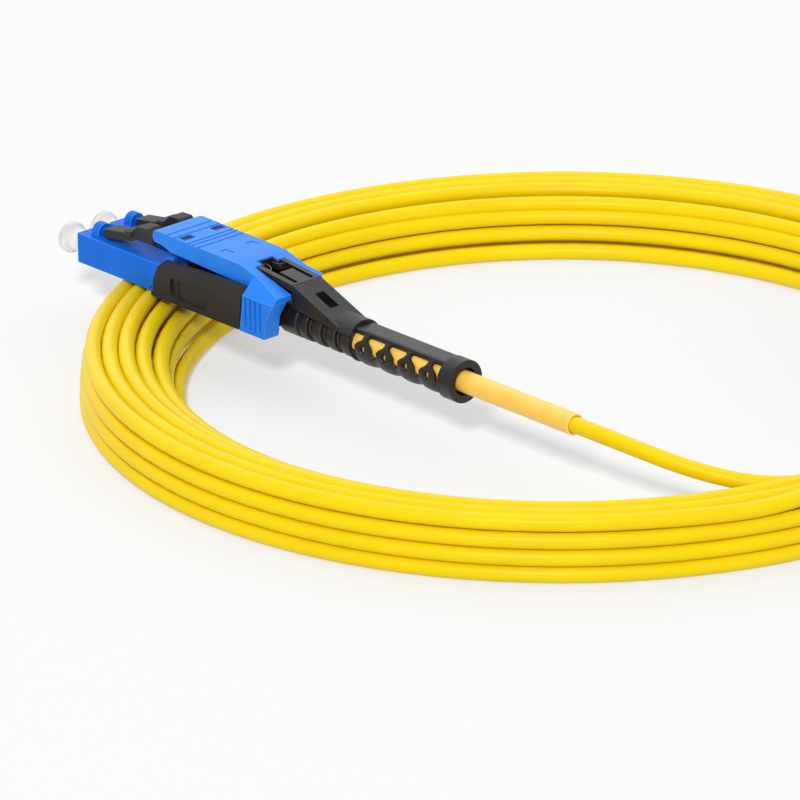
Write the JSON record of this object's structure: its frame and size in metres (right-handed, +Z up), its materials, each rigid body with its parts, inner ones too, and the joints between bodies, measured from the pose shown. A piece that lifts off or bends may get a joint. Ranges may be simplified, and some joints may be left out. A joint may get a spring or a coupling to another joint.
{
  "type": "duplex fibre patch cord",
  "caption": "Coiled round cable with a push-pull plug at each end, each with capped ferrule noses, latch arms, a trigger lever and a lattice boot; joins two pieces of optical equipment.",
  "frame": {"origin": "centre of the cable coil, on the surface it lies on", "axes": "+Z up along the coil's axis, +X along plug a from its noses to its boot"},
  "size_m": [0.1449, 0.1579, 0.0191],
  "materials": {
    "cable_jacket": "smooth jacket",
    "amber_sleeve": "smooth tube",
    "blue_shell": "moulded",
    "dark_shell": "moulded",
    "boot_rubber": "moulded",
    "cap_plastic": "soft translucent",
    "ferrule_ceramic": "polished",
    "steel": "drawn",
    "fibre_buffer": "thin tube"
  },
  "bodies": {
    "cord": {"rear_housing_a": "dark_shell", "cover_a": "dark_shell", "crimp_sleeve_a": "steel", "strain_relief_a": "boot_rubber", "sleeve_a": "amber_sleeve", "cable_tail_a": "cable_jacket", "left_nose_a": "blue_shell", "left_spring_a": "steel", "left_fibre_a": "fibre_buffer", "right_nose_a": "blue_shell", "right_spring_a": "steel", "right_fibre_a": "fibre_buffer", "rear_housing_b": "dark_shell", "cover_b": "dark_shell", "crimp_sleeve_b": "steel", "strain_relief_b": "boot_rubber", "sleeve_b": "amber_sleeve", "cable_tail_b": "cable_jacket", "left_nose_b": "blue_shell", "left_spring_b": "steel", "left_fibre_b": "fibre_buffer", "right_nose_b": "blue_shell", "right_spring_b": "steel", "right_fibre_b": "fibre_buffer", "cable_lead_a": "cable_jacket", "cable_lead_b": "cable_jacket", "cable_coil": "cable_jacket"},
    "pull_a": {"trigger_a": "blue_shell", "boot_a": "boot_rubber"},
    "left_latch_a": {"left_latch_a": "dark_shell"},
    "left_cap_a": {"left_cap_a": "cap_plastic"},
    "left_tip_a": {"left_ferrule_a": "ferrule_ceramic", "left_flange_a": "steel"},
    "right_latch_a": {"right_latch_a": "dark_shell"},
    "right_cap_a": {"right_cap_a": "cap_plastic"},
    "right_tip_a": {"right_ferrule_a": "ferrule_ceramic", "right_flange_a": "steel"},
    "pull_b": {"trigger_b": "blue_shell", "boot_b": "boot_rubber"},
    "left_latch_b": {"left_latch_b": "dark_shell"},
    "left_cap_b": {"left_cap_b": "cap_plastic"},
    "left_tip_b": {"left_ferrule_b": "ferrule_ceramic", "left_flange_b": "steel"},
    "right_latch_b": {"right_latch_b": "dark_shell"},
    "right_cap_b": {"right_cap_b": "cap_plastic"},
    "right_tip_b": {"right_ferrule_b": "ferrule_ceramic", "right_flange_b": "steel"}
  },
  "joints": [
    {"name": "pull_a", "type": "slide", "parent": "cord", "child": "pull_a", "axis": [1, 0, 0], "range_m": [0, 0.0022], "stiffness_N_per_m": 300},
    {"name": "left_latch_a", "type": "hinge", "parent": "cord", "child": "left_latch_a", "pos_m": [-0.065, -0.02952, 0.0148], "axis": [0, 1, 0], "range_deg": [0, 4.5]},
    {"name": "left_tip_a", "type": "slide", "parent": "cord", "child": "left_tip_a", "axis": [1, 0, 0], "range_m": [0, 0.001], "stiffness_N_per_m": 600, "deforming": ["left_spring_a"]},
    {"name": "left_cap_a", "type": "slide", "parent": "cord", "child": "left_cap_a", "axis": [-1, 0, 0], "range_m": [0, 0.005]},
    {"name": "right_latch_a", "type": "hinge", "parent": "cord", "child": "right_latch_a", "pos_m": [-0.065, -0.02328, 0.0148], "axis": [0, 1, 0], "range_deg": [0, 4.5]},
    {"name": "right_tip_a", "type": "slide", "parent": "cord", "child": "right_tip_a", "axis": [1, 0, 0], "range_m": [0, 0.001], "stiffness_N_per_m": 600, "deforming": ["right_spring_a"]},
    {"name": "right_cap_a", "type": "slide", "parent": "cord", "child": "right_cap_a", "axis": [-1, 0, 0], "range_m": [0, 0.005]},
    {"name": "pull_b", "type": "slide", "parent": "cord", "child": "pull_b", "axis": [0.7071, -0.7071, 0], "range_m": [0, 0.0022], "stiffness_N_per_m": 300},
    {"name": "left_latch_b", "type": "hinge", "parent": "cord", "child": "left_latch_b", "pos_m": [-0.01066, 0.07524, 0.0148], "axis": [0.7071, 0.7071, 0], "range_deg": [0, 4.5]},
    {"name": "left_tip_b", "type": "slide", "parent": "cord", "child": "left_tip_b", "axis": [0.7071, -0.7071, 0], "range_m": [0, 0.001], "stiffness_N_per_m": 600, "deforming": ["left_spring_b"]},
    {"name": "left_cap_b", "type": "slide", "parent": "cord", "child": "left_cap_b", "axis": [-0.7071, 0.7071, 0], "range_m": [0, 0.005]},
    {"name": "right_latch_b", "type": "hinge", "parent": "cord", "child": "right_latch_b", "pos_m": [-0.00624, 0.07966, 0.0148], "axis": [0.7071, 0.7071, 0], "range_deg": [0, 4.5]},
    {"name": "right_tip_b", "type": "slide", "parent": "cord", "child": "right_tip_b", "axis": [0.7071, -0.7071, 0], "range_m": [0, 0.001], "stiffness_N_per_m": 600, "deforming": ["right_spring_b"]},
    {"name": "right_cap_b", "type": "slide", "parent": "cord", "child": "right_cap_b", "axis": [-0.7071, 0.7071, 0], "range_m": [0, 0.005]}
  ],
  "couplings": [
    {"joint": "left_latch_a", "follows": "pull_a", "rad_per_m": 35.6},
    {"joint": "right_latch_a", "follows": "pull_a", "rad_per_m": 35.6},
    {"joint": "left_latch_b", "follows": "pull_b", "rad_per_m": 35.6},
    {"joint": "right_latch_b", "follows": "pull_b", "rad_per_m": 35.6}
  ]
}
